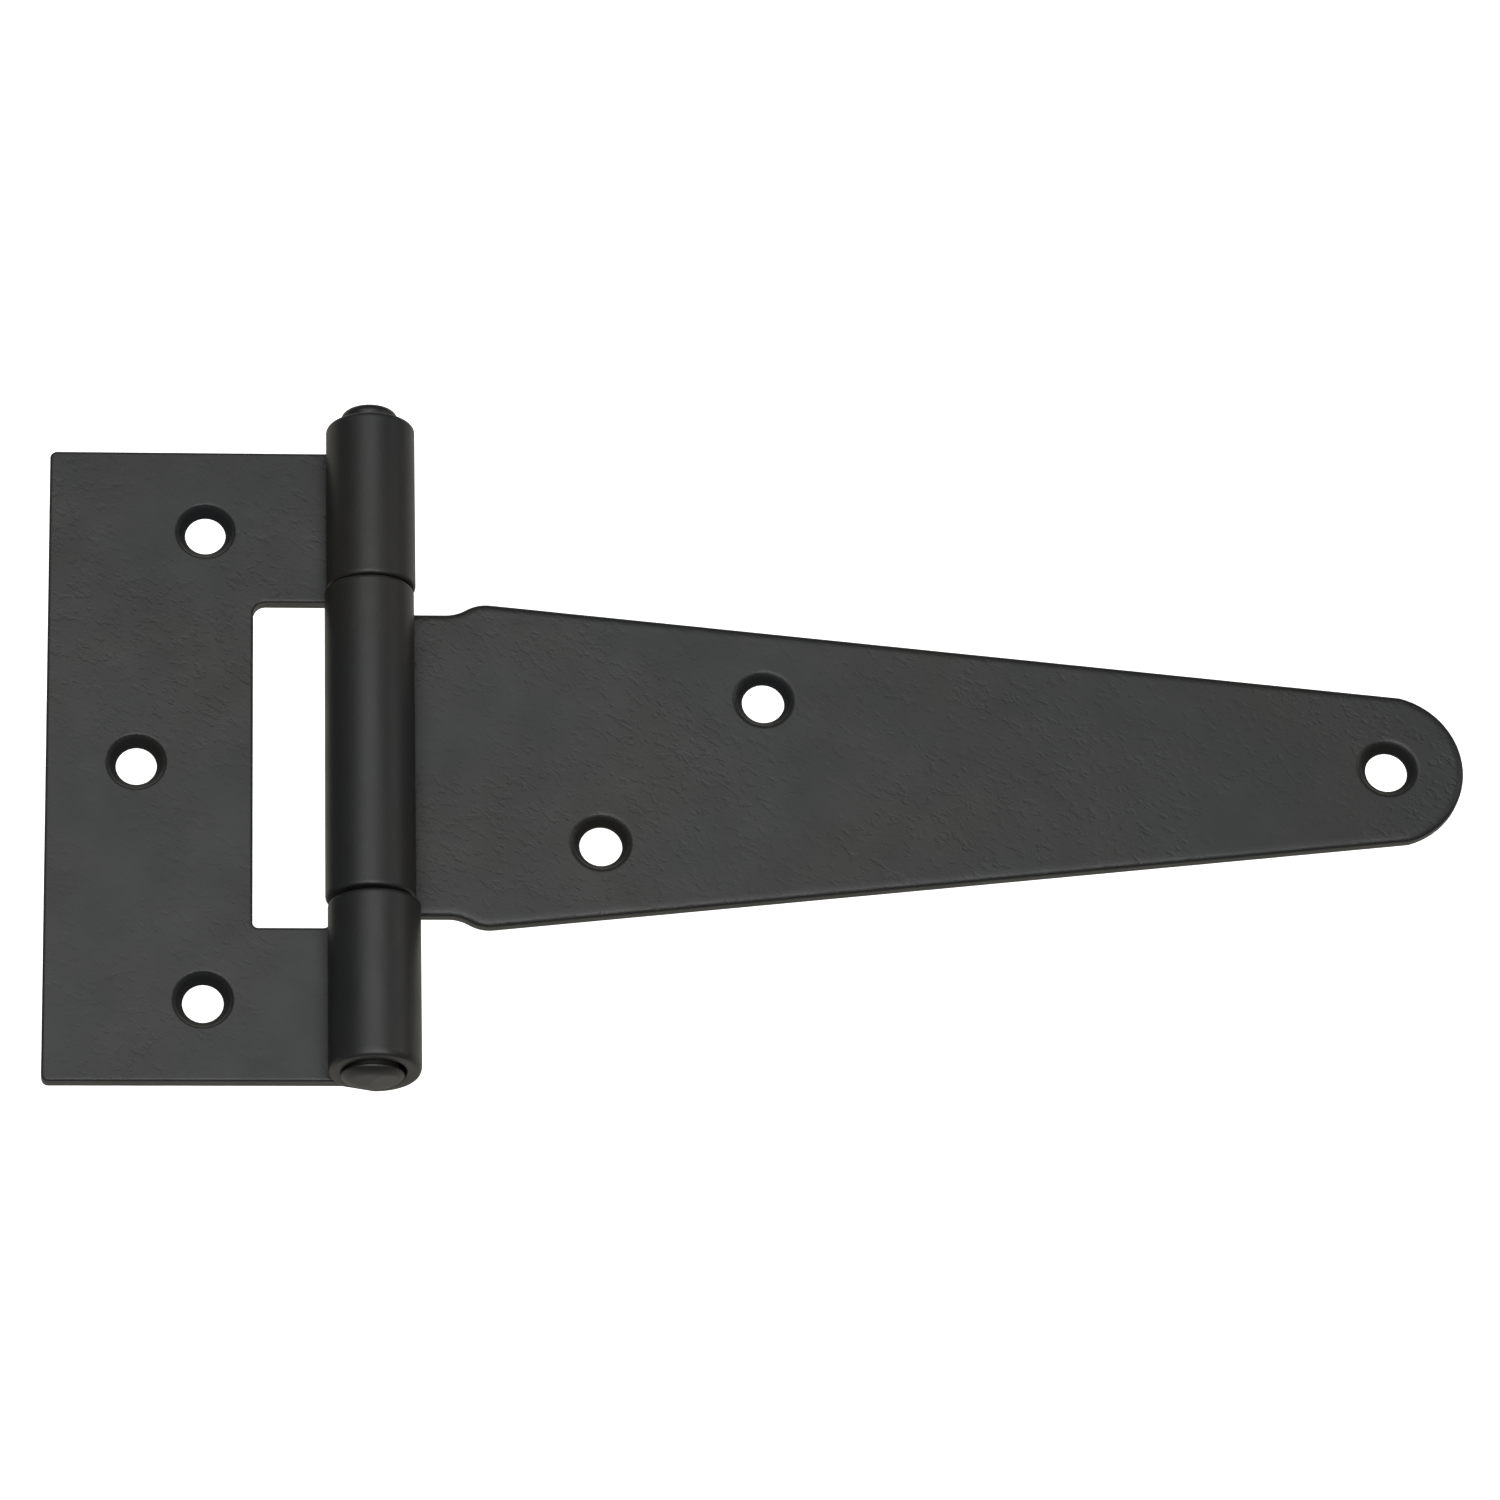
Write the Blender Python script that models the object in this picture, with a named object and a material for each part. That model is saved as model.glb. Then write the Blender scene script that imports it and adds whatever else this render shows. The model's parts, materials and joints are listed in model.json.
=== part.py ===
"""A T hinge for doors, gates and fences, lying open and flat on its mounting faces.

Metres, +Z up. Z = 0 is the mounting plane, the pin runs along Y and the strap points along +X.
The origin is on the mounting plane, under the middle of the pin.
"""

import math

import bmesh
import bpy
from mathutils import Matrix, Vector

MM = 0.001

# Sheet steel that both leaves are cut and rolled from
SHEET = 2.2 * MM
EDGE_BREAK = 0.2 * MM  # bevel on every edge of the sheet

# Barrel
KNUCKLE_R = 6.2 * MM  # outside radius of a rolled knuckle
ROLL_OFFSET = 0.12 * MM  # how far each roll lies off the pin's axis, towards the side it bulges to
LOWER_KNUCKLE_R = 6.35 * MM  # the jamb leaf's lower knuckle is rolled a little looser than the others
LOWER_ROLL_OFFSET = 0.35 * MM
CURL_GAP = 0.15 * MM  # between the end of the curl and the plate that it comes back to
CURL_CUT_DEG = 50.0  # slope of the cut across the end of the curl
SEAM_X = 5.3 * MM  # where the rolled strip ends and the flat plate begins
STEP_X = 5.7 * MM  # where a strip that is wider than its plate steps in to the plate's edge
BARREL_TOP_Y = 49.0 * MM  # outer end of the jamb leaf's upper knuckle, which stands proud of the plate
JOINT_UPPER_Y = 24.2 * MM  # and its inner end
JOINT_LOWER_Y = -22.75 * MM  # inner end of the lower knuckle
BARREL_BOTTOM_Y = -47.3 * MM  # and its outer end, a little proud of the plate too
UPPER_PLAY = 0.2 * MM  # gap between the strap's knuckle and the jamb leaf's upper one
LOWER_PLAY = 0.6 * MM  # and its lower one

# Pin, with both ends peened over
PIN_R = 3.6 * MM
HEAD_R = 4.0 * MM
HEAD_ROUND = 0.7 * MM
HEAD_GAP = 0.15 * MM  # between a peened head and the end of the knuckle
UPPER_HEAD = 3.0 * MM  # how far each head stands out of the barrel
LOWER_HEAD = 1.4 * MM

# Jamb leaf
LEAF_TOP_Y = 47.2 * MM
LEAF_BOTTOM_Y = -46.8 * MM
LEAF_WIDTH = 44.5 * MM  # pin axis to the outer edge
SLOT_X = 16.1 * MM  # pin axis to the far wall of the slot
SLOT_LOWER_Y = -24.45 * MM
LEAF_CORNER_R = 1.0 * MM
SLOT_UPPER_CORNER_R = 1.7 * MM
SLOT_LOWER_CORNER_R = 0.8 * MM
LEAF_HOLES = ((-22.8 * MM, 35.0 * MM), (-32.1 * MM, 0.0), (-22.8 * MM, -35.0 * MM))

# Strap leaf
STRAP_LENGTH = 152.4 * MM  # pin axis to the tip
NECK_HALF_WIDTH = 22.6 * MM
NECK_END_X = 12.0 * MM
SHOULDER_X = 15.1 * MM
SHOULDER_HALF_WIDTH = 24.5 * MM
SHOULDER_R = 5.4 * MM
TIP_R = 11.3 * MM
TIP_ARC_DEG = 74.5  # the round end spans this much each side of the strap's centre line
STRAP_HOLES = ((31.7 * MM, -11.7 * MM), (54.7 * MM, 9.9 * MM), (141.7 * MM, 0.0))

# Screw holes, countersunk from the front
HOLE_R = 2.95 * MM
SINK_R = 4.15 * MM
SINK_HALF_ANGLE_DEG = 41.0

SINK_OVERSHOOT = 1.0 * MM  # how far the drill stands past both faces of the sheet

# Facets
ROLL_STEP_DEG = 6.0
CORNER_STEPS = 6
TIP_STEPS = 24
HEAD_STEPS = 5
HOLE_SEGMENTS = 40
PIN_SEGMENTS = 48
SHARP_EDGE_DEG = 30.0  # edges steeper than this are shaded sharp and get the edge break
WELD = 0.001 * MM  # points and faces nearer than this are one

BLACK_COAT = (0.026, 0.027, 0.028, 1.0)
PIN_COAT = (0.022, 0.023, 0.023, 1.0)
LEAF_ROUGHNESS = 0.5
PIN_ROUGHNESS = 0.45


def clear_scene():
    for item in list(bpy.data.objects):
        bpy.data.objects.remove(item, do_unlink=True)


def coated_steel(name, colour, roughness):
    material = bpy.data.materials.new(name)
    material.use_nodes = True
    shader = material.node_tree.nodes["Principled BSDF"]
    shader.inputs["Base Color"].default_value = colour
    shader.inputs["Roughness"].default_value = roughness
    shader.inputs["Metallic"].default_value = 0.0
    return material


def arc(centre, radius, start_deg, end_deg, steps):
    """Points on a circle from one angle to another, both ends included."""
    points = []
    for step in range(steps + 1):
        angle = math.radians(start_deg + (end_deg - start_deg) * step / steps)
        points.append(Vector(centre) + radius * Vector((math.cos(angle), math.sin(angle))))
    return points


def fillet(before, corner, after, radius):
    """The corner of an outline, rounded to the radius."""
    corner = Vector(corner)
    to_before = (Vector(before) - corner).normalized()
    to_after = (Vector(after) - corner).normalized()
    half_angle = to_before.angle(to_after) / 2
    centre = corner + (to_before + to_after).normalized() * radius / math.sin(half_angle)
    first = corner + to_before * radius / math.tan(half_angle) - centre
    last = corner + to_after * radius / math.tan(half_angle) - centre
    turn = first.angle_signed(last) / CORNER_STEPS
    return [centre + Matrix.Rotation(-turn * i, 2) @ first for i in range(CORNER_STEPS + 1)]


def outline(corners):
    """A closed outline from (x, y, radius) corners."""
    points = []
    for i, (x, y, radius) in enumerate(corners):
        if radius:
            before, after = corners[i - 1][:2], corners[(i + 1) % len(corners)][:2]
            points += fillet(before, (x, y), after, radius)
        else:
            points.append(Vector((x, y)))
    return points


def add_prism(bm, corners, shift):
    """Extrudes a closed outline of 3-D points by the vector shift."""
    face = bm.faces.new([bm.verts.new(corner) for corner in corners])
    grown = bmesh.ops.extrude_face_region(bm, geom=[face])
    moved = [item for item in grown["geom"] if isinstance(item, bmesh.types.BMVert)]
    bmesh.ops.translate(bm, vec=shift, verts=moved)


def add_plate(bm, points):
    add_prism(bm, [(point.x, point.y, 0.0) for point in points], Vector((0.0, 0.0, SHEET)))


def roll_profile(radius, offset):
    """Section (x, z) of a knuckle with its plate on the +X side.

    The sheet curls round under the pin, up and over it, and back down to the plate. The end of
    the curl is dressed flat where it meets the plate, then cut square to the sheet.
    """
    centre = Vector((-offset, radius))
    end_z = SHEET + CURL_GAP
    drop = radius - end_z
    touch_deg = math.degrees(math.asin(-drop / radius))
    outer = arc(centre, radius, 270.0, touch_deg, round((270.0 - touch_deg) / ROLL_STEP_DEG))
    dressed = Vector((centre.x + drop / math.tan(math.radians(CURL_CUT_DEG)), end_z))
    inner_steps = round((270.0 + CURL_CUT_DEG) / ROLL_STEP_DEG)
    inner = arc(centre, radius - SHEET, -CURL_CUT_DEG, 270.0, inner_steps)
    plate = [Vector((SEAM_X, SHEET)), Vector((SEAM_X, 0.0))]
    return outer + [dressed] + inner + plate


def add_knuckle(bm, low_y, high_y, side, radius=KNUCKLE_R, offset=ROLL_OFFSET):
    """A rolled knuckle between two Y values. Its plate is on the +X side, or on -X if side is -1."""
    section = [(side * point.x, low_y, point.y) for point in roll_profile(radius, offset)]
    add_prism(bm, section, Vector((0.0, high_y - low_y, 0.0)))


def join_at_seam(bm, seam_x):
    """Opens the faces that a plate and its knuckles share, and welds their edges into one body."""
    shared = [face for face in bm.faces if all(abs(v.co.x - seam_x) < WELD for v in face.verts)]
    matched = [face for face in shared if is_matched(face, shared)]
    bmesh.ops.delete(bm, geom=matched, context="FACES")
    bmesh.ops.remove_doubles(bm, verts=bm.verts, dist=WELD)
    bmesh.ops.recalc_face_normals(bm, faces=bm.faces)


def is_matched(face, others):
    """Whether another of these faces lies on this one."""
    here = face.calc_center_median()
    apart = [(other.calc_center_median() - here).length for other in others if other is not face]
    return min(apart) < WELD


def new_object(name, bm, material):
    mesh = bpy.data.meshes.new(name)
    bm.to_mesh(mesh)
    bm.free()
    if material:
        mesh.materials.append(material)
    mesh.shade_smooth()
    mesh.set_sharp_from_angle(angle=math.radians(SHARP_EDGE_DEG))
    item = bpy.data.objects.new(name, mesh)
    bpy.context.scene.collection.objects.link(item)
    return item


def add_edge_break(item):
    bevel = item.modifiers.new("Edge break", "BEVEL")
    bevel.width = EDGE_BREAK
    bevel.segments = 2
    bevel.limit_method = "ANGLE"
    bevel.angle_limit = math.radians(SHARP_EDGE_DEG)


def turned(profile, segments):
    """A solid of revolution about Z from (radius, z) points, from the bottom of the axis to its top."""
    bm = bmesh.new()
    verts = [bm.verts.new((radius, 0.0, z)) for radius, z in profile]
    edges = [bm.edges.new(pair) for pair in zip(verts, verts[1:])]
    bmesh.ops.spin(
        bm, geom=verts + edges, axis=(0, 0, 1), cent=(0, 0, 0), angle=2 * math.pi, steps=segments
    )
    bmesh.ops.remove_doubles(bm, verts=bm.verts, dist=WELD)
    bmesh.ops.recalc_face_normals(bm, faces=bm.faces)
    return bm


def drill_profile():
    """(radius, z) of the drill and its countersink."""
    slope = math.tan(math.radians(SINK_HALF_ANGLE_DEG))
    top = SHEET + SINK_OVERSHOOT
    return [
        (0.0, -SINK_OVERSHOOT),
        (HOLE_R, -SINK_OVERSHOOT),
        (HOLE_R, SHEET - (SINK_R - HOLE_R) / slope),
        (SINK_R + SINK_OVERSHOOT * slope, top),
        (0.0, top),
    ]


def drill(item, holes):
    """Cuts the countersunk screw holes of one leaf."""
    bm = turned(drill_profile(), HOLE_SEGMENTS)
    pattern = bm.verts[:] + bm.edges[:] + bm.faces[:]
    pattern_verts = bm.verts[:]
    for x, y in holes:
        copy = bmesh.ops.duplicate(bm, geom=pattern)["geom"]
        moved = [part for part in copy if isinstance(part, bmesh.types.BMVert)]
        bmesh.ops.translate(bm, vec=(x, y, 0.0), verts=moved)
    bmesh.ops.delete(bm, geom=pattern_verts, context="VERTS")
    cutter = new_object(item.name + "_drill", bm, None)
    cutter.hide_render = True
    cutter.display_type = "WIRE"
    cut = item.modifiers.new("Screw holes", "BOOLEAN")
    cut.operation = "DIFFERENCE"
    cut.solver = "EXACT"
    cut.object = cutter


def build_jamb_leaf(material):
    """The rectangular leaf: outer knuckles, screw holes, and a slot that the strap's neck swings in."""
    bm = bmesh.new()
    add_plate(
        bm,
        outline(
            [
                (-SEAM_X, BARREL_TOP_Y, 0),
                (-STEP_X, BARREL_TOP_Y, 0),
                (-STEP_X, LEAF_TOP_Y, 0),
                (-LEAF_WIDTH, LEAF_TOP_Y, LEAF_CORNER_R),
                (-LEAF_WIDTH, LEAF_BOTTOM_Y, LEAF_CORNER_R),
                (-STEP_X, LEAF_BOTTOM_Y, 0),
                (-STEP_X, BARREL_BOTTOM_Y, 0),
                (-SEAM_X, BARREL_BOTTOM_Y, 0),
                (-SEAM_X, JOINT_LOWER_Y, 0),
                (-STEP_X, JOINT_LOWER_Y, 0),
                (-STEP_X, SLOT_LOWER_Y, 0),
                (-SLOT_X, SLOT_LOWER_Y, SLOT_LOWER_CORNER_R),
                (-SLOT_X, JOINT_UPPER_Y, SLOT_UPPER_CORNER_R),
                (-SEAM_X, JOINT_UPPER_Y, 0),
            ]
        ),
    )
    add_knuckle(bm, JOINT_UPPER_Y, BARREL_TOP_Y, -1)
    add_knuckle(bm, BARREL_BOTTOM_Y, JOINT_LOWER_Y, -1, LOWER_KNUCKLE_R, LOWER_ROLL_OFFSET)
    join_at_seam(bm, -SEAM_X)
    leaf = new_object("jamb_leaf", bm, material)
    add_edge_break(leaf)
    drill(leaf, LEAF_HOLES)
    return leaf


def build_strap_leaf(material):
    """The long tapered leaf: middle knuckle, neck, two shoulders, a round tip and screw holes."""
    top, bottom = JOINT_UPPER_Y - UPPER_PLAY, JOINT_LOWER_Y + LOWER_PLAY
    tip = arc((STRAP_LENGTH - TIP_R, 0.0), TIP_R, -TIP_ARC_DEG, TIP_ARC_DEG, TIP_STEPS)
    bm = bmesh.new()
    add_plate(
        bm,
        outline(
            [
                (SEAM_X, top, 0),
                (SEAM_X, bottom, 0),
                (SEAM_X, -NECK_HALF_WIDTH, 0),
                (NECK_END_X, -NECK_HALF_WIDTH, SHOULDER_R),
                (SHOULDER_X, -SHOULDER_HALF_WIDTH, SHOULDER_R),
            ]
            + [(point.x, point.y, 0) for point in tip]
            + [
                (SHOULDER_X, SHOULDER_HALF_WIDTH, SHOULDER_R),
                (NECK_END_X, NECK_HALF_WIDTH, SHOULDER_R),
                (STEP_X, NECK_HALF_WIDTH, 0),
                (STEP_X, top, 0),
            ]
        ),
    )
    add_knuckle(bm, bottom, top, 1)
    join_at_seam(bm, SEAM_X)
    strap = new_object("strap_leaf", bm, material)
    add_edge_break(strap)
    drill(strap, STRAP_HOLES)
    return strap


def head_profile(barrel_end, length):
    """(radius, distance along the pin) of one peened head, from its underside to the middle of its end."""
    start = barrel_end + HEAD_GAP
    end = barrel_end + length
    rim = arc((HEAD_R - HEAD_ROUND, end - HEAD_ROUND), HEAD_ROUND, 0.0, 90.0, HEAD_STEPS)
    return [(PIN_R, start), (HEAD_R, start)] + [(point.x, point.y) for point in rim] + [(0.0, end)]


def build_pin(material):
    """The riveted pin. Its axis is Y, through the middle of the barrel."""
    upper = head_profile(BARREL_TOP_Y, UPPER_HEAD)
    lower = [(radius, -y) for radius, y in reversed(head_profile(-BARREL_BOTTOM_Y, LOWER_HEAD))]
    bm = turned(lower + upper, PIN_SEGMENTS)
    pin = new_object("hinge_pin", bm, material)
    pin.rotation_euler = (math.radians(-90.0), 0.0, 0.0)
    return pin


def swing_axis():
    """An empty on the pin's axis, which the strap leaf turns about."""
    axis = bpy.data.objects.new("swing_axis", None)
    axis.empty_display_size = KNUCKLE_R
    bpy.context.scene.collection.objects.link(axis)
    axis.location = (0.0, 0.0, KNUCKLE_R)
    return axis


def main():
    clear_scene()
    build_jamb_leaf(coated_steel("leaf_coat", BLACK_COAT, LEAF_ROUGHNESS))
    strap = build_strap_leaf(coated_steel("strap_coat", BLACK_COAT, LEAF_ROUGHNESS))
    pin = build_pin(coated_steel("pin_coat", PIN_COAT, PIN_ROUGHNESS))
    axis = swing_axis()
    pin.location = axis.location
    strap.parent = axis
    strap.matrix_parent_inverse = Matrix.Translation(-axis.location)


main()
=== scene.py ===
import json
import math
from functools import reduce

import bmesh
import bpy
import numpy as np
from mathutils import Matrix, Vector, noise
from mathutils.geometry import delaunay_2d_cdt


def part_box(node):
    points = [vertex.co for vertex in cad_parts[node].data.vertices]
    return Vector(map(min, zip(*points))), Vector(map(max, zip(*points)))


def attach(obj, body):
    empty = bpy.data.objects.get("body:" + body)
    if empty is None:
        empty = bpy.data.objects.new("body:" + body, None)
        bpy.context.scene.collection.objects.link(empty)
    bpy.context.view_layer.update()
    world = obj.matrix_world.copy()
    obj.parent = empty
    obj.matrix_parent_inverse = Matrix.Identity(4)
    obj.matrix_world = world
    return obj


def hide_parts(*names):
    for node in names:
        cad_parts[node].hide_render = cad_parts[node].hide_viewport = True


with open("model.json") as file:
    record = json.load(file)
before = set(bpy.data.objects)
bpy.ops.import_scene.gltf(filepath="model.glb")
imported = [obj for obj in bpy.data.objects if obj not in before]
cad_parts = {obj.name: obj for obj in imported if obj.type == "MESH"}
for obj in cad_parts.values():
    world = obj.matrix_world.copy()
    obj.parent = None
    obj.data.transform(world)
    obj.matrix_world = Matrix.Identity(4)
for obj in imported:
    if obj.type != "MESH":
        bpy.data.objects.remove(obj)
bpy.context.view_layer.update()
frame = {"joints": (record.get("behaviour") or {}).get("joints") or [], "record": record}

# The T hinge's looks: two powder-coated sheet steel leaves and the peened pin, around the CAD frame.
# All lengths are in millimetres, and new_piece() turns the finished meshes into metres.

METRE = 1000.0

# Read from the frame
AXIS_Z = frame["joints"][0]["pos_m"][2] * METRE


def node_box(node):
    """Lowest and highest corners of a CAD node's box."""
    low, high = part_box(node)
    return low * METRE, high * METRE


JAMB_LOW, JAMB_HIGH = node_box("jamb_leaf")
STRAP_LOW, STRAP_HIGH = node_box("strap_leaf")
PIN_LOW, PIN_HIGH = node_box("hinge_pin")
KNUCKLE_R = AXIS_Z  # outside radius of a rolled knuckle
ROLL_OFFSET = -STRAP_LOW.x - KNUCKLE_R  # each roll lies this far off the pin's axis
LOWER_KNUCKLE_R = JAMB_HIGH.z / 2  # the jamb leaf's lower knuckle is rolled looser
LOWER_ROLL_OFFSET = JAMB_HIGH.x - LOWER_KNUCKLE_R
BARREL_TOP, BARREL_BOTTOM = JAMB_HIGH.y, JAMB_LOW.y
HEAD_R = PIN_HIGH.x

# The rest of part.py's driving dimensions that show
SHEET = 2.2
LEAF_TOP = 47.2
LEAF_BOTTOM = -46.8
JOINT_UPPER = 24.2  # inner end of the jamb leaf's upper knuckle
JOINT_LOWER = -22.75
STRAP_KNUCKLE = (-22.15, 24.0)  # its lower and upper ends
SLOT_X = 16.1
SLOT_LOWER = -24.45
NECK_HALF = 22.6
NECK_END = 12.0
SHOULDER_X = 15.1
SHOULDER_R = 5.4
TIP_R = 11.3
TIP_ARC_DEG = 74.5  # the tip's arc ends this far either side of +X
LEAF_CORNER_R = 1.0
SLOT_LOWER_R = 0.8
SLOT_UPPER_R = 1.7
SINK_R = 4.15
SINK_HALF_ANGLE_DEG = 41.0
CURL_CUT_DEG = 50.0
PIN_R = 3.6

# Each leaf's screw holes: radius, and roundness of the countersink's rim. The jamb leaf's are part.py's
# 2.95 with more coat in them.
LEAF_HOLE = (2.8, 0.2)
STRAP_HOLE = (2.95, 0.42)
HOLE_RIM = 0.16  # rounding at the back face
# Where a countersink runs into its hole: (reach beyond the hole's radius, height over the sharp corner)
HOLE_NECK = ((0.0, -0.12), (0.02, -0.04), (0.09, 0.06))

# Edges, finer than the CAD's. Each is a quarter ellipse at the sheet's back face, then one at its front
# face: how far each reaches in from the edge, and down from the face.
LEAF_RIM = (0.22, 0.22, 0.45, 0.35)
STRAP_RIM = (0.3, 0.5, 1.2, 0.65)  # rolled over further by the shear
JOINT_RIM = (0.6, 0.42, 0.3, 0.3)  # where two knuckles meet
TOP_RIM = (0.75, 0.8, 0.5, 0.5)  # the barrel's upper end
BOTTOM_RIM = (1.1, 0.55, 0.5, 0.6)  # and its lower end
BOTTOM_LEAN = 0.06  # slope of the cut across the lower end
HOLD = 0.16  # a narrow flat border beside every rounding keeps the flats' shading flat
RIM_STEPS = 6

# Seam between each plate's mesh and its knuckle's, under the barrel, and the step beside it
SEAM_X = 4.0
STEP_START_X = 4.7
STEP_END_X = 6.0
STEP_R = 1.1

# The roll: the angle at which the plate runs into it, and the gap left where its end comes back
ROLL_START_DEG = 270.0
CURL_GAP = 0.06

# The pin's peened heads. The rounding is the radius between a head's side and its end, and its arc starts
# at start_deg. Facets are (x slope, z slope, drop) planes that the hammer left across the end.
UPPER_HEAD = {"dome": 0.6, "rounding": 1.15, "start_deg": 0.0, "facets": ()}
LOWER_HEAD = {
    "dome": 0.15,
    "rounding": 2.6,
    "start_deg": 38.0,
    "facets": ((0.12, -0.04, 0.15), (-0.04, 0.04, 0.08)),
}
LOWER_HEAD_R = 4.35
UNDERCUT = 0.1  # a head's underside is this much smaller all round, and its end at least this far away
UPPER_SEAT = BARREL_TOP + 0.05
LOWER_SEAT = BARREL_BOTTOM + 0.1  # within the barrel's end, which leans
SHANK_BOTTOM = BARREL_BOTTOM - 0.05

# Fineness of the meshes
GRID = 0.9
GRID_CLEAR = 0.6  # share of GRID that the inner points keep from an outline
ARC_STEP_DEG = 5.0
ARC_LEAST_STEPS = 4
ROLL_STEP_DEG = 4.0
ROLL_FLAT_PARTS = 5
CURL_PARTS = 4
HEAD_ROUND_STEPS = 8
HEAD_DOME_STEPS = 12
CIRCLE_SEGMENTS = 96
WELD = 0.002
CDT_NEAR = 1e-5  # points nearer than this count as one when a flat face is triangulated

# Orange peel of the coat: shallow hollows on the leaves' faces
PEEL_DEPTH = 0.016
PEEL_SIZE = 3.2


# ---- outlines -------------------------------------------------------------------------------


def fillet(before, corner, after, radius):
    """A corner rounded to the radius, as points no more than ARC_STEP_DEG apart."""
    to_before = (before - corner).normalized()
    to_after = (after - corner).normalized()
    half = to_before.angle(to_after) / 2
    centre = corner + (to_before + to_after).normalized() * radius / math.sin(half)
    first = corner + to_before * radius / math.tan(half) - centre
    last = corner + to_after * radius / math.tan(half) - centre
    turn = first.angle_signed(last)
    steps = max(ARC_LEAST_STEPS, math.ceil(math.degrees(abs(turn)) / ARC_STEP_DEG))
    return [centre + Matrix.Rotation(-turn * i / steps, 2) @ first for i in range(steps + 1)]


def parts_in(length):
    """How many parts about GRID long a length is divided into."""
    return max(1, round(abs(length) / GRID))


def between(start, end, parts):
    """The values that divide the span between two numbers into equal parts, without its ends."""
    return [start + (end - start) * i / parts for i in range(1, parts)]


def chain(corners):
    """An open outline from (x, y, radius) corners, with its straight runs divided."""
    places = [Vector(corner[:2]) for corner in corners]
    bends = [places[0]]
    for i in range(1, len(corners) - 1):
        radius = corners[i][2]
        if radius:
            bends += fillet(places[i - 1], places[i], places[i + 1], radius)
        else:
            bends.append(places[i])
    bends.append(places[-1])
    points = [bends[0]]
    for start, end in zip(bends, bends[1:]):
        length = (end - start).length
        points += [start.lerp(end, share) for share in between(0.0, 1.0, parts_in(length))]
        points.append(end)
    return points


def inset(points, distance):
    """An open outline moved to its left by the distance. Its first and last points move squarely."""
    runs = [end - start for start, end in zip(points, points[1:])]
    normals = [Vector((-run.y, run.x)).normalized() for run in runs]
    moved = []
    for point, behind, ahead in zip(points, normals[:1] + normals, normals + normals[-1:]):
        middle = (ahead + behind).normalized()
        moved.append(point + middle * distance / middle.dot(ahead))
    return moved


def rim_profile(rim):
    """(inset, height) of a sheet's edge, from its back face round to its front face."""
    back_in, back_down, front_in, front_down = rim
    points = [(back_in + HOLD, 0.0)]
    for i in range(RIM_STEPS + 1):
        angle = math.pi / 2 * i / RIM_STEPS
        points.append((back_in * (1 - math.sin(angle)), back_down * (1 - math.cos(angle))))
    for i in range(RIM_STEPS + 1):
        angle = math.pi / 2 * i / RIM_STEPS
        points.append((front_in * (1 - math.cos(angle)), SHEET - front_down * (1 - math.sin(angle))))
    points.append((front_in + HOLD, SHEET))
    return points


# ---- mesh building --------------------------------------------------------------------------


def bridge(bm, first, second, closed):
    """Quads between two rows of vertices of the same length."""
    count = len(first) if closed else len(first) - 1
    for i in range(count):
        j = (i + 1) % len(first)
        bm.faces.new((first[i], first[j], second[j], second[i]))


def loft(bm, rows, closed=True):
    """Quads through rows of 3-D points. Returns the rows' vertices."""
    verts = [[bm.verts.new(point) for point in row] for row in rows]
    for first, second in zip(verts, verts[1:]):
        bridge(bm, first, second, closed)
    return verts


def inside(points, loop):
    """Which of the 2-D points lie inside a closed loop, as an array of booleans."""
    within = np.zeros(len(points), bool)
    x, y = points[:, 0], points[:, 1]
    for (ax, ay), (bx, by) in zip(loop, np.roll(loop, -1, axis=0)):
        crosses = (ay > y) != (by > y)
        if ay != by:
            within ^= crosses & (x < ax + (y - ay) * (bx - ax) / (by - ay))
    return within


def fill_points(outer, holes):
    """A staggered grid inside the outer loop, clear of it and of the holes."""
    low, high = outer.min(axis=0), outer.max(axis=0)
    row_gap = GRID * math.sqrt(3) / 2
    rows = np.arange(low[1] + row_gap, high[1], row_gap)
    grid = np.array(
        [
            (x, y)
            for row, y in enumerate(rows)
            for x in np.arange(low[0] + GRID * (1 + row % 2 / 2), high[0], GRID)
        ]
    )
    keep = inside(grid, outer)
    for loop in holes:
        keep &= ~inside(grid, loop)
    for loop in [outer, *holes]:
        for point in loop:
            keep &= np.hypot(*(grid - point).T) > GRID * GRID_CLEAR
    return grid[keep]


def fill(bm, outer, holes, height):
    """A flat triangulated face at one height, with holes in it."""
    loops = [np.array(loop, float) for loop in [outer, *holes]]
    inner = fill_points(loops[0], loops[1:])
    edges = []
    start = 0
    for loop in loops:
        edges += [(start + i, start + (i + 1) % len(loop)) for i in range(len(loop))]
        start += len(loop)
    points = [Vector(point) for point in np.concatenate([*loops, inner])]
    places, _, faces = delaunay_2d_cdt(points, edges, [], 0, CDT_NEAR, False)[:3]
    places = np.array(places)
    middles = places[np.array(faces)].mean(axis=1)
    keep = inside(middles, loops[0])
    for loop in loops[1:]:
        keep &= ~inside(middles, loop)
    verts = [bm.verts.new((x, y, height)) for x, y in places]
    for face, kept in zip(faces, keep):
        if kept:
            bm.faces.new([verts[i] for i in face])


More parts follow.
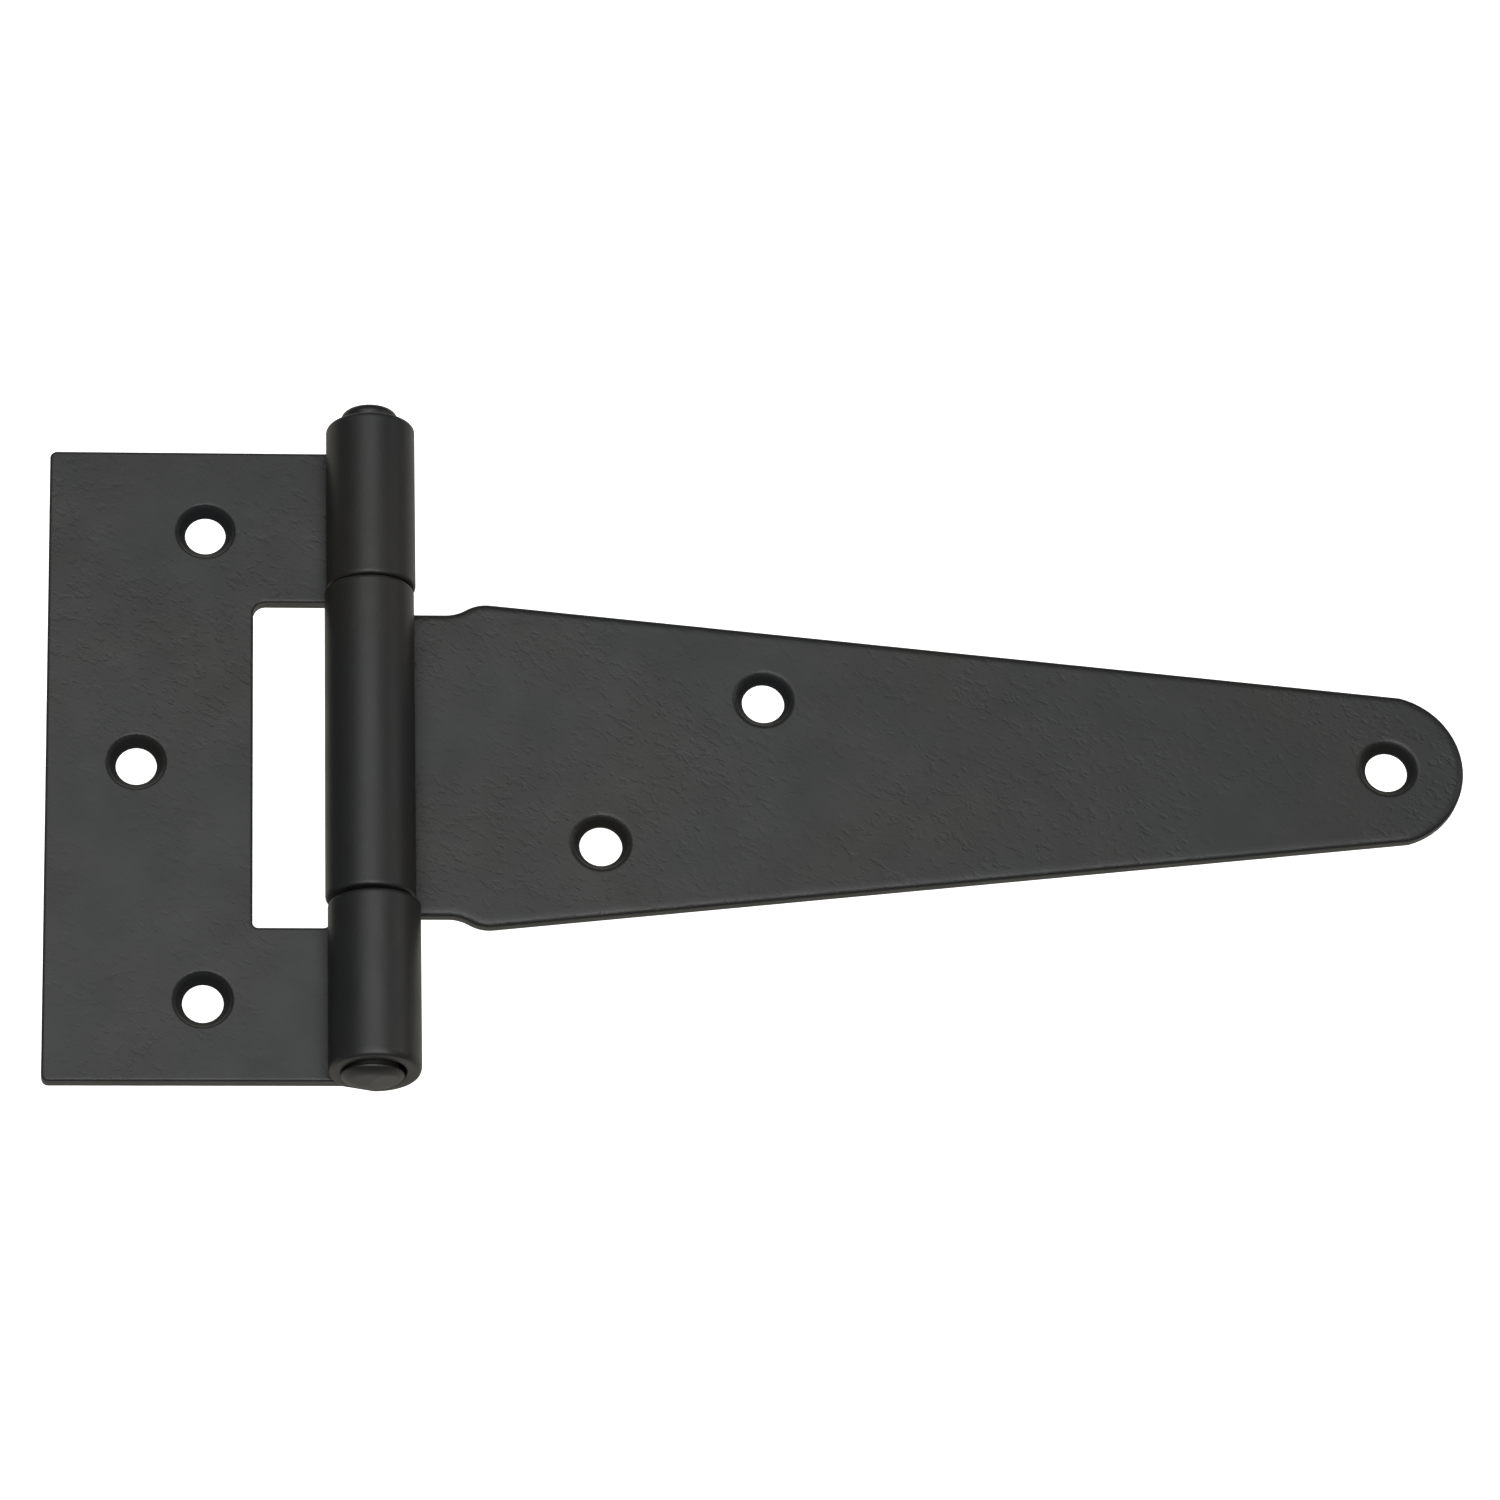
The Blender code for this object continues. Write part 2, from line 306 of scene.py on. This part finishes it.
def hole_profile(hole_r, sink_rim):
    """(radius, height) down a countersunk screw hole, from the back face to the front face."""
    slope = math.tan(math.radians(SINK_HALF_ANGLE_DEG))
    sink_z = SHEET - (SINK_R - hole_r) / slope
    points = [(hole_r + HOLE_RIM + HOLD, 0.0)]
    for i in range(RIM_STEPS + 1):
        angle = math.pi / 2 * i / RIM_STEPS
        reach = HOLE_RIM * (1 - math.sin(angle))
        points.append((hole_r + reach, HOLE_RIM * (1 - math.cos(angle))))
    points += [(hole_r + reach, sink_z + rise) for reach, rise in HOLE_NECK]
    # The rim is a parabola that meets the cone and the face without a crease
    rim_start = SINK_R - sink_rim * slope
    rim_width = 2 * sink_rim * slope
    for i in range(RIM_STEPS + 1):
        share = i / RIM_STEPS
        points.append((rim_start + rim_width * share, SHEET - sink_rim * (1 - share) ** 2))
    points.append((rim_start + rim_width + HOLD, SHEET))
    return points


def turns():
    """(cosine, sine) of each direction round a circle."""
    angles = [2 * math.pi * i / CIRCLE_SEGMENTS for i in range(CIRCLE_SEGMENTS)]
    return [(math.cos(angle), math.sin(angle)) for angle in angles]


def circle(centre, radius, height):
    """Points round a level circle."""
    return [(centre.x + radius * cos, centre.y + radius * sin, height) for cos, sin in turns()]


def add_plate(bm, chains, seams, rim, hole, centres):
    """One leaf's flat part, with screw holes at the centres.

    Free edges are chains with the plate on their left. The seams, (x, start y, end y), join them up.
    """
    back, front = [], []
    for points, seam in zip(chains, seams):
        rows = []
        for distance, height in rim_profile(rim):
            rows.append([(*point, height) for point in inset(points, distance)])
        loft(bm, rows, closed=False)
        x, start, end = seam
        toward = math.copysign(1.0, end - start)
        for row, boundary, rounding in ((rows[0], back, rim[0]), (rows[-1], front, rim[2])):
            border = toward * (rounding + HOLD)
            boundary += [point[:2] for point in row]
            boundary += [(x, y) for y in between(start + border, end - border, parts_in(end - start))]
    profile = hole_profile(*hole)
    for centre in centres:
        loft(bm, [circle(centre, radius, height) for radius, height in profile])
    for boundary, (radius, height) in ((back, profile[0]), (front, profile[-1])):
        holes = [[point[:2] for point in circle(centre, radius, height)] for centre in centres]
        fill(bm, boundary, holes, height)


def roll_stations(radius, offset):
    """Stations along the strip from the seam to the end of the curl, seen with the plate on +X.

    Each is a place on the strip's back face, the direction from there to its front face, the
    thickness, and how far the edges have changed from the plate's rounding to the knuckle's.
    """
    centre = Vector((-offset, radius))
    stations = []
    flat = [SEAM_X, *between(SEAM_X, centre.x, ROLL_FLAT_PARTS), centre.x]
    for i, x in enumerate(flat):
        stations.append((Vector((x, 0.0)), Vector((0.0, 1.0)), SHEET, i / (len(flat) - 1)))
    drop = radius - SHEET - CURL_GAP
    touch_deg = -math.degrees(math.asin(drop / radius))
    steps = round((ROLL_START_DEG - touch_deg) / ROLL_STEP_DEG)
    angles = [*between(ROLL_START_DEG, touch_deg, steps), touch_deg]
    angles += [*between(touch_deg, -CURL_CUT_DEG, CURL_PARTS), -CURL_CUT_DEG]
    for angle_deg in angles:
        angle = math.radians(angle_deg)
        outward = Vector((math.cos(angle), math.sin(angle)))
        reach = radius
        if angle_deg < touch_deg:
            reach = drop / -math.sin(angle)
        thickness = reach - (radius - SHEET)
        stations.append((centre + outward * reach, -outward, thickness, 1.0))
    return stations


def mixed(first, second, share):
    """Numbers that share of the way from the first ones to the second."""
    return [a + (b - a) * share for a, b in zip(first, second)]


def add_knuckle(bm, plate_span, roll_span, rims, side, radius=KNUCKLE_R, offset=ROLL_OFFSET, lean=0.0):
    """A rolled knuckle along Y, with its plate on the +X side, or on -X if side is -1.

    The spans are its lower and upper ends, at the plate and all round the roll. Its rims are the
    plate's, the one at its lower end and the one at its upper end. The lower end leans by the slope.
    """
    plate_rim, low_rim, high_rim = rims
    parts = parts_in(plate_span[1] - plate_span[0])
    rows = []
    for place, inward, thickness, share in roll_stations(radius, offset):
        low, high = mixed(plate_span, roll_span, share)
        low += lean * (place.y - radius) * share
        low_edge = rim_profile(mixed(plate_rim, low_rim, share))
        high_edge = rim_profile(mixed(plate_rim, high_rim, share))
        front = between(low + low_edge[-1][0], high - high_edge[-1][0], parts)
        back = between(high - high_edge[0][0], low + low_edge[0][0], parts)
        section = [(low + distance, depth) for distance, depth in low_edge]
        section += [(y, SHEET) for y in front]
        section += [(high - distance, depth) for distance, depth in reversed(high_edge)]
        section += [(y, 0.0) for y in back]
        row = []
        for y, depth in section:
            point = place + inward * depth * thickness / SHEET
            row.append((side * point.x, y, point.y))
        rows.append(row)
    verts = loft(bm, rows)
    bm.faces.new(verts[-1])


def finish_leaf(bm):
    """Joins a leaf's parts along their seams and gives it the coat's orange peel.

    The peel sinks every vertex a little along its normal, by smooth noise.
    """
    bmesh.ops.remove_doubles(bm, verts=bm.verts, dist=WELD)
    bmesh.ops.recalc_face_normals(bm, faces=bm.faces)
    bm.normal_update()
    for vert in bm.verts:
        hollow = 0.5 + 0.5 * noise.noise(vert.co / PEEL_SIZE)
        vert.co -= vert.normal * PEEL_DEPTH * hollow


def new_piece(name, bm, body, node, material):
    """Turns a mesh in millimetres into a piece that rides on a body and stands for a CAD node."""
    bmesh.ops.recalc_face_normals(bm, faces=bm.faces)
    bm.transform(Matrix.Scale(1 / METRE, 4))
    mesh = bpy.data.meshes.new(name)
    bm.to_mesh(mesh)
    bm.free()
    mesh.materials.append(material)
    mesh.shade_smooth()
    piece = bpy.data.objects.new(name, mesh)
    bpy.context.scene.collection.objects.link(piece)
    flats = piece.modifiers.new("Flat faces stay flat", "WEIGHTED_NORMAL")
    flats.mode = "FACE_AREA"
    flats.weight = 100
    flats.thresh = 0.001
    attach(piece, body)
    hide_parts(node)


# ---- the pieces -----------------------------------------------------------------------------


def hole_centres(prefix):
    """Middles of one leaf's screw holes, from the record's openings."""
    centres = []
    for opening in frame["record"]["physics"]["openings"]:
        if opening["name"].startswith(prefix):
            low, high = opening["box_m"]
            centres.append(Vector((low[0] + high[0], low[1] + high[1])) * METRE / 2)
    return centres


def build_jamb_leaf(material, centres):
    """The rectangular leaf: two outer knuckles, three holes, and the slot for the strap's neck."""
    outer = JAMB_LOW.x
    outside = chain(
        [
            (-SEAM_X, LEAF_TOP, 0),
            (outer, LEAF_TOP, LEAF_CORNER_R),
            (outer, LEAF_BOTTOM, LEAF_CORNER_R),
            (-SEAM_X, LEAF_BOTTOM, 0),
        ]
    )
    slot = chain(
        [
            (-SEAM_X, JOINT_LOWER, 0),
            (-STEP_START_X, JOINT_LOWER, STEP_R),
            (-STEP_END_X, SLOT_LOWER, STEP_R),
            (-SLOT_X, SLOT_LOWER, SLOT_LOWER_R),
            (-SLOT_X, JOINT_UPPER, SLOT_UPPER_R),
            (-SEAM_X, JOINT_UPPER, 0),
        ]
    )
    seams = [(-SEAM_X, LEAF_BOTTOM, JOINT_LOWER), (-SEAM_X, JOINT_UPPER, LEAF_TOP)]
    bm = bmesh.new()
    add_plate(bm, [outside, slot], seams, LEAF_RIM, LEAF_HOLE, centres)
    add_knuckle(
        bm,
        (JOINT_UPPER, LEAF_TOP),
        (JOINT_UPPER, BARREL_TOP),
        (LEAF_RIM, JOINT_RIM, TOP_RIM),
        -1,
    )
    add_knuckle(
        bm,
        (LEAF_BOTTOM, JOINT_LOWER),
        (BARREL_BOTTOM, JOINT_LOWER),
        (LEAF_RIM, BOTTOM_RIM, JOINT_RIM),
        -1,
        LOWER_KNUCKLE_R,
        LOWER_ROLL_OFFSET,
        BOTTOM_LEAN,
    )
    finish_leaf(bm)
    new_piece("jamb_leaf_coated", bm, "jamb", "jamb_leaf", material)


def build_strap_leaf(material, centres):
    """The long tapered leaf: the middle knuckle, a neck, two shoulders, a round tip and three holes."""
    low, high = STRAP_KNUCKLE
    wide = STRAP_HIGH.y
    tip_x = STRAP_HIGH.x - TIP_R
    steps = round(2 * TIP_ARC_DEG / ARC_STEP_DEG)
    tip = []
    for i in range(steps + 1):
        angle = math.radians(TIP_ARC_DEG * (2 * i / steps - 1))
        tip.append((tip_x + TIP_R * math.cos(angle), TIP_R * math.sin(angle), 0))
    outside = chain(
        [
            (SEAM_X, low, 0),
            (STEP_START_X, low, STEP_R),
            (STEP_END_X, -NECK_HALF, STEP_R),
            (NECK_END, -NECK_HALF, SHOULDER_R),
            (SHOULDER_X, -wide, SHOULDER_R),
            *tip,
            (SHOULDER_X, wide, SHOULDER_R),
            (NECK_END, NECK_HALF, SHOULDER_R),
            (STEP_END_X, NECK_HALF, STEP_R),
            (STEP_START_X, high, STEP_R),
            (SEAM_X, high, 0),
        ]
    )
    bm = bmesh.new()
    add_plate(bm, [outside], [(SEAM_X, high, low)], STRAP_RIM, STRAP_HOLE, centres)
    add_knuckle(bm, (low, high), (low, high), (STRAP_RIM, JOINT_RIM, JOINT_RIM), 1)
    finish_leaf(bm)
    new_piece("strap_leaf_coated", bm, "strap", "strap_leaf", material)


def head_rows(radius_out, seat_y, end_y, dome, rounding, start_deg, facets):
    """Rings of one peened head, from its underside to near the middle of its end."""
    out = math.copysign(1.0, end_y - seat_y)
    seat, reach = abs(seat_y), abs(end_y)
    start = math.radians(start_deg)
    flat_r = radius_out - rounding * math.cos(start)
    rim_y = reach - dome - rounding
    rings = [(radius_out - UNDERCUT, seat)]
    for i in range(HEAD_ROUND_STEPS + 1):
        angle = start + (math.pi / 2 - start) * i / HEAD_ROUND_STEPS
        rings.append((flat_r + rounding * math.cos(angle), rim_y + rounding * math.sin(angle)))
    for i in range(1, HEAD_DOME_STEPS):
        share = 1 - i / HEAD_DOME_STEPS
        rings.append((flat_r * share, reach - dome * share**2))
    rows = []
    for radius, y in rings:
        row = []
        for cos, sin in turns():
            x, z = radius * cos, radius * sin
            planes = [reach - drop - slope_x * x - slope_z * z for slope_x, slope_z, drop in facets]
            row.append((x, out * max(min([y, *planes]), seat + UNDERCUT), AXIS_Z + z))
        rows.append(row)
    return rows


def build_pin(material):
    """The riveted pin, with both its ends peened over by hand."""
    upper = head_rows(HEAD_R, UPPER_SEAT, PIN_HIGH.y, **UPPER_HEAD)
    lower = head_rows(LOWER_HEAD_R, LOWER_SEAT, PIN_LOW.y, **LOWER_HEAD)
    shank = []
    for y in (SHANK_BOTTOM, UPPER_SEAT):
        shank.append([(PIN_R * cos, y, AXIS_Z + PIN_R * sin) for cos, sin in turns()])
    bm = bmesh.new()
    verts = loft(bm, [*reversed(lower), *shank, *upper])
    bm.faces.new(verts[0])
    bm.faces.new(verts[-1])
    new_piece("hinge_pin_peened", bm, "jamb", "hinge_pin", material)


# ---- materials ------------------------------------------------------------------------------

# The coat. Sizes and depths are in millimetres.
COOL = (0.0155, 0.0165, 0.0175, 1.0)
WARM = (0.0175, 0.017, 0.016, 1.0)
LEAF_ROUGHNESS = 0.45
PIN_COOL = (0.015, 0.015, 0.015, 1.0)
PIN_WARM = (0.0175, 0.017, 0.0155, 1.0)
PIN_ROUGHNESS = 0.42
SHEEN_SPREAD = 0.04
SHINE = 0.5  # specular level
PAINTED_SHADE_HOLE_SHINE = 0.05  # and inside the screw holes, turned down there as painted shade
PAINTED_SHADE_HOLE_FADE = 0.4  # width of the ring between the two
SMOOTH_GRAIN = 0.3  # strength of the grain where the coat flowed out
BARREL_GRAIN = 0.3  # and on the barrel and the pin, against the flats
GRAIN_TURN = -0.55  # the grain runs aslant, as the coat was sprayed
GRAIN_STRETCH = 1.5

# Each noise: (size, detail)
TONE_NOISE = (24.0, 3.0)
SHEEN_NOISE = (7.0, 4.0)
GRAIN_NOISE = (26.0, 2.0)
PEBBLE_NOISE = (0.4, 2.0)
PIT_NOISE = (0.9, 3.0)
WRINKLE_NOISE = (1.7, 2.0)

# The values of a noise between which its effect comes in
TONE_RANGE = (0.4, 0.62)
SHEEN_RANGE = (0.3, 0.7)
GRAIN_RANGE = (0.36, 0.56)
PIT_RANGE = (0.34, 0.46)

PEBBLE_DEPTH = 0.026
PIT_DEPTH = 0.024
WRINKLE_DEPTH = 0.016


class Nodes:
    """Adds nodes to the node tree of a material or a world and links them."""

    def __init__(self, owner):
        owner.use_nodes = True
        self.tree = owner.node_tree

    def add(self, kind, inputs=None, **settings):
        node = self.tree.nodes.new(kind)
        for name, value in settings.items():
            setattr(node, name, value)
        for name, value in (inputs or {}).items():
            if isinstance(value, bpy.types.NodeSocket):
                self.tree.links.new(value, node.inputs[name])
            else:
                node.inputs[name].default_value = value
        return node

    def noise(self, coords, size, detail):
        inputs = {"Vector": coords, "Scale": METRE / size, "Detail": detail}
        return self.add("ShaderNodeTexNoise", inputs).outputs["Fac"]

    def bump(self, height, depth, strength, normal=None):
        inputs = {"Height": height, "Distance": depth / METRE, "Strength": strength}
        if normal is not None:
            inputs["Normal"] = normal
        return self.add("ShaderNodeBump", inputs).outputs["Normal"]

    def span(self, value, low, high, to_low, to_high):
        inputs = {"Value": value, "From Min": low, "From Max": high, "To Min": to_low, "To Max": to_high}
        return self.add("ShaderNodeMapRange", inputs, clamp=True).outputs["Result"]

    def combine(self, operation, first, second):
        return self.add("ShaderNodeMath", {0: first, 1: second}, operation=operation).outputs["Value"]


def powder_coat(name, cool, warm, roughness, centres=()):
    """Satin black powder coat: fine grain, uneven tone and sheen, and painted shade in the holes at the
    centres, where its reflection is turned down.
    """
    material = bpy.data.materials.new(name)
    nodes = Nodes(material)
    shader = nodes.tree.nodes["Principled BSDF"]
    coords = nodes.add("ShaderNodeTexCoord").outputs["Object"]

    patches = nodes.span(nodes.noise(coords, *TONE_NOISE), *TONE_RANGE, 0.0, 1.0)
    tone = nodes.add("ShaderNodeMix", {"Factor": patches, "A": cool, "B": warm}, data_type="RGBA")
    nodes.tree.links.new(tone.outputs["Result"], shader.inputs["Base Color"])

    sheen = nodes.noise(coords, *SHEEN_NOISE)
    rough = nodes.span(sheen, *SHEEN_RANGE, roughness - SHEEN_SPREAD, roughness + SHEEN_SPREAD)
    nodes.tree.links.new(rough, shader.inputs["Roughness"])

    # Painted shade: the specular level drops inside each screw hole and its countersink, so these recesses
    # render darker
    painted_shade_shines = []
    painted_shade_hole_r = SINK_R - HOLE_RIM
    for centre in centres:
        ends = {0: coords, 1: Vector((*centre, SHEET / 2)) / METRE}
        away = nodes.add("ShaderNodeVectorMath", ends, operation="DISTANCE").outputs["Value"]
        painted_shade_shines.append(nodes.span(away, (painted_shade_hole_r - PAINTED_SHADE_HOLE_FADE) / METRE, painted_shade_hole_r / METRE, PAINTED_SHADE_HOLE_SHINE, SHINE))
    if painted_shade_shines:
        least_painted_shade_shine = reduce(lambda first, second: nodes.combine("MINIMUM", first, second), painted_shade_shines)
        nodes.tree.links.new(least_painted_shade_shine, shader.inputs["Specular IOR Level"])

    # The coat dried rough and pitted in places, and it flowed out smoother on the barrel
    height = nodes.add("ShaderNodeSeparateXYZ", {"Vector": coords}).outputs["Z"]
    flats = nodes.span(height, SHEET / METRE, 2 * SHEET / METRE, 1.0, BARREL_GRAIN)
    patchy = nodes.span(nodes.noise(coords, *GRAIN_NOISE), *GRAIN_RANGE, SMOOTH_GRAIN, 1.0)
    strength = nodes.combine("MULTIPLY", flats, patchy)
    runs = {"Vector": coords, "Rotation": (0.0, 0.0, GRAIN_TURN), "Scale": (GRAIN_STRETCH, 1.0, 1.0)}
    grain = nodes.add("ShaderNodeMapping", runs, vector_type="TEXTURE").outputs["Vector"]
    pits = nodes.span(nodes.noise(grain, *PIT_NOISE), *PIT_RANGE, 0.0, 1.0)
    pebbled = nodes.bump(nodes.noise(grain, *PEBBLE_NOISE), PEBBLE_DEPTH, strength)
    pitted = nodes.bump(pits, PIT_DEPTH, strength, pebbled)
    wrinkled = nodes.bump(nodes.noise(grain, *WRINKLE_NOISE), WRINKLE_DEPTH, strength, pitted)
    nodes.tree.links.new(wrinkled, shader.inputs["Normal"])
    return material


# ---- stage ----------------------------------------------------------------------------------

# In metres. The camera's turns about X, Y and Z, in radians, its place and its lens were fitted to the
# photo's outlines.
CAMERA_PLACE = (-0.02351, -0.37284, 0.87226)
CAMERA_TURNS = (0.40698, -0.0801, 0.0056)
LENS_MM = 164.74
SENSOR_MM = 36.0
CLIP = (0.05, 20.0)

# Softboxes point at the middle of the hinge: (name, place, size, watts, colour)
TARGET = Vector((0.054, 0.0, 0.0))
SOFTBOXES = [
    ("key", (-0.06, 0.24, 1.0), (0.85, 0.7), 3.4, (1.0, 1.0, 1.0)),
    ("edge", (0.0, -0.38, 1.0), (0.85, 0.16), 5.3, (1.0, 1.0, 1.0)),
    ("side", (1.1, 0.3, 0.6), (0.4, 0.6), 1.4, (1.0, 0.99, 0.96)),
]

# The studio around it, from straight below (0) through the horizon (0.5) to straight above (1)
ROOM = [
    (0.0, (0.5, 0.48, 0.43, 1.0)),
    (0.12, (0.66, 0.64, 0.58, 1.0)),
    (0.38, (0.6, 0.58, 0.52, 1.0)),
    (0.46, (0.025, 0.025, 0.023, 1.0)),
    (0.75, (0.035, 0.035, 0.035, 1.0)),
    (1.0, (0.3, 0.3, 0.3, 1.0)),
]

FLOOR_HALF = 4.0
FLOOR_CELLS = 8
FLOOR_CLEARANCE = 0.02  # under the tip of the strap when it hangs straight down
FLOOR_COLOUR = (0.9, 0.9, 0.9, 1.0)
FLOOR_GLOW = (1.0, 1.0, 1.0, 1.0)
FLOOR_ROUGHNESS = 0.9


def build_floor():
    """A plain pale floor, lower than the strap reaches when it swings down."""
    bm = bmesh.new()
    bmesh.ops.create_grid(bm, x_segments=FLOOR_CELLS, y_segments=FLOOR_CELLS, size=FLOOR_HALF)
    bmesh.ops.translate(bm, vec=(0.0, 0.0, -STRAP_HIGH.x / METRE - FLOOR_CLEARANCE), verts=bm.verts)
    mesh = bpy.data.meshes.new("floor")
    bm.to_mesh(mesh)
    bm.free()
    floor = bpy.data.objects.new("floor", mesh)
    bpy.context.scene.collection.objects.link(floor)
    material = bpy.data.materials.new("floor_white")
    material.use_nodes = True
    shader = material.node_tree.nodes["Principled BSDF"]
    shader.inputs["Base Color"].default_value = FLOOR_COLOUR
    shader.inputs["Roughness"].default_value = FLOOR_ROUGHNESS
    shader.inputs["Emission Color"].default_value = FLOOR_GLOW
    shader.inputs["Emission Strength"].default_value = 1.0
    mesh.materials.append(material)
    floor.visible_glossy = False
    floor.visible_diffuse = False


def build_world():
    """Dim studio walls, a paler room below the horizon, and a soft glow overhead."""
    world = bpy.data.worlds.new("studio")
    bpy.context.scene.world = world
    nodes = Nodes(world)
    coords = nodes.add("ShaderNodeTexCoord").outputs["Generated"]
    height = nodes.add("ShaderNodeSeparateXYZ", {"Vector": coords}).outputs["Z"]
    share = nodes.span(height, -1.0, 1.0, 0.0, 1.0)
    ramp = nodes.add("ShaderNodeValToRGB", {"Fac": share})
    nodes.tree.links.new(ramp.outputs["Color"], nodes.tree.nodes["Background"].inputs["Color"])
    elements = ramp.color_ramp.elements
    elements.remove(elements[1])
    elements[0].position, elements[0].color = ROOM[0]
    for position, colour in ROOM[1:]:
        elements.new(position).color = colour


def add_softbox(name, place, size, watts, colour):
    """A rectangular lamp that points at the hinge."""
    light = bpy.data.lights.new(name, "AREA")
    light.shape = "RECTANGLE"
    light.size, light.size_y = size
    light.energy = watts
    light.color = colour
    lamp = bpy.data.objects.new(name, light)
    bpy.context.scene.collection.objects.link(lamp)
    lamp.location = Vector(place)
    lamp.rotation_mode = "QUATERNION"
    lamp.rotation_quaternion = (TARGET - lamp.location).to_track_quat("-Z", "Y")


def build_camera():
    """The photo's camera."""
    data = bpy.data.cameras.new("camera")
    data.sensor_width = SENSOR_MM
    data.lens = LENS_MM
    data.clip_start, data.clip_end = CLIP
    camera = bpy.data.objects.new("camera", data)
    bpy.context.scene.collection.objects.link(camera)
    stand = Matrix.Translation(CAMERA_PLACE)
    for turn, axis in zip(CAMERA_TURNS, "XYZ"):
        stand = stand @ Matrix.Rotation(turn, 4, axis)
    camera.matrix_world = stand
    bpy.context.scene.camera = camera


def main():
    bpy.context.scene.view_settings.view_transform = "Standard"
    leaf_centres = hole_centres("leaf_hole")
    strap_centres = hole_centres("strap_hole")
    build_jamb_leaf(powder_coat("leaf_coat", COOL, WARM, LEAF_ROUGHNESS, leaf_centres), leaf_centres)
    build_strap_leaf(powder_coat("strap_coat", COOL, WARM, LEAF_ROUGHNESS, strap_centres), strap_centres)
    build_pin(powder_coat("pin_coat", PIN_COOL, PIN_WARM, PIN_ROUGHNESS))
    build_camera()
    build_floor()
    build_world()
    for softbox in SOFTBOXES:
        add_softbox(*softbox)


main()
